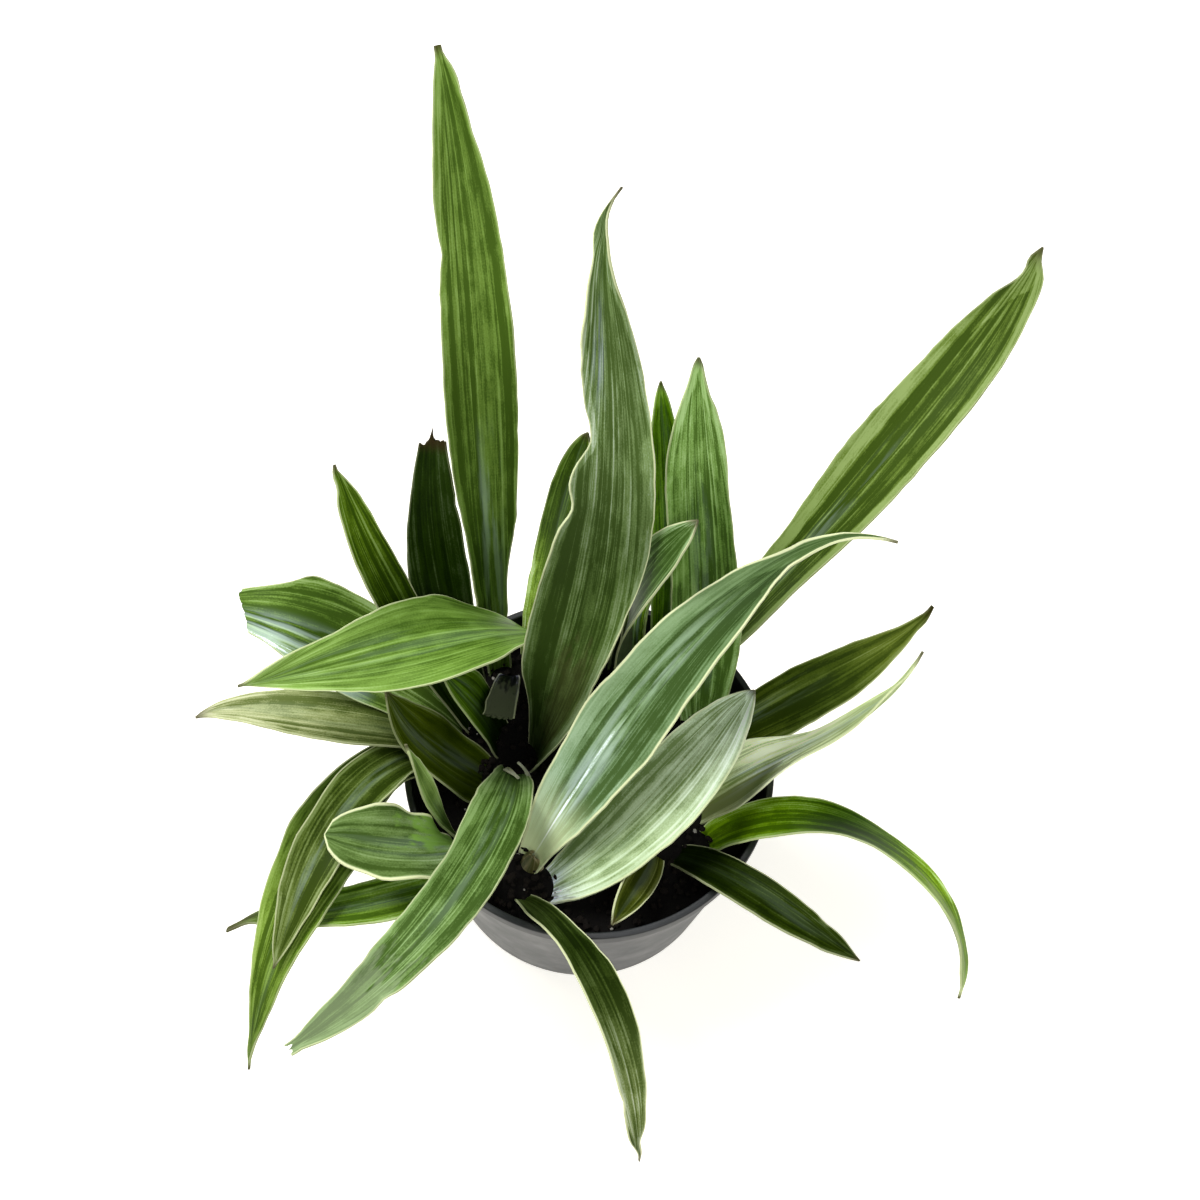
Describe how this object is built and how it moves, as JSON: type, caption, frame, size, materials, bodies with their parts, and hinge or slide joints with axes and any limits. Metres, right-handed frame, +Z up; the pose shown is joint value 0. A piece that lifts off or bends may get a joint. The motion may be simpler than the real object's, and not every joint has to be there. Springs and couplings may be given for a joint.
{
  "type": "potted snake plant",
  "caption": "Potted plant with soft, arching, lengthwise striped leaves in several shoots, standing in soil in a tapered black nursery pot with a lip and drainage holes.",
  "frame": {"origin": "middle of the pot's flat foot, on the surface it stands on", "axes": "+Z up along the pot's axis; -Y towards the viewer of the picture; +X to the viewer's right"},
  "size_m": [0.3364, 0.3531, 0.3132],
  "materials": {
    "pot": "satin black moulded plastic",
    "soil": "dark peat mix with white perlite specks",
    "leaf": "soft satin leaf, striped lengthwise in greens with a pale margin",
    "leaf_pale": "soft satin leaf in lime green with a cream margin",
    "leaf_brown": "shaded and browned leaf"
  },
  "bodies": {
    "root": {"pot": "pot", "soil": "soil", "leaf_tall_left": "leaf", "leaf_torn_back_left": "leaf", "leaf_slim_back_left": "leaf", "leaf_torn_left": "leaf", "leaf_stub_centre": "leaf_brown", "leaf_bright_left": "leaf_pale", "leaf_behind_centre": "leaf", "leaf_wavy_centre": "leaf", "leaf_arching_front_left": "leaf", "leaf_short_centre_left": "leaf", "leaf_brown_left": "leaf_brown", "leaf_low_left": "leaf", "leaf_drooping_left_upper": "leaf", "leaf_drooping_left_lower": "leaf", "leaf_low_front_left": "leaf", "leaf_pup_broad": "leaf", "leaf_pup_upright": "leaf_pale", "leaf_long_front": "leaf", "leaf_broad_front": "leaf", "leaf_drooping_front": "leaf", "leaf_dark_right": "leaf", "leaf_upright_right": "leaf", "leaf_twisted_right": "leaf", "leaf_drooping_right": "leaf", "leaf_low_front_right": "leaf", "leaf_small_front": "leaf", "leaf_tall_right": "leaf", "leaf_slim_behind": "leaf", "leaf_short_behind_right": "leaf", "leaf_curled_behind_right": "leaf_pale", "leaf_rolled_spear": "leaf_pale"}
  },
  "joints": []
}
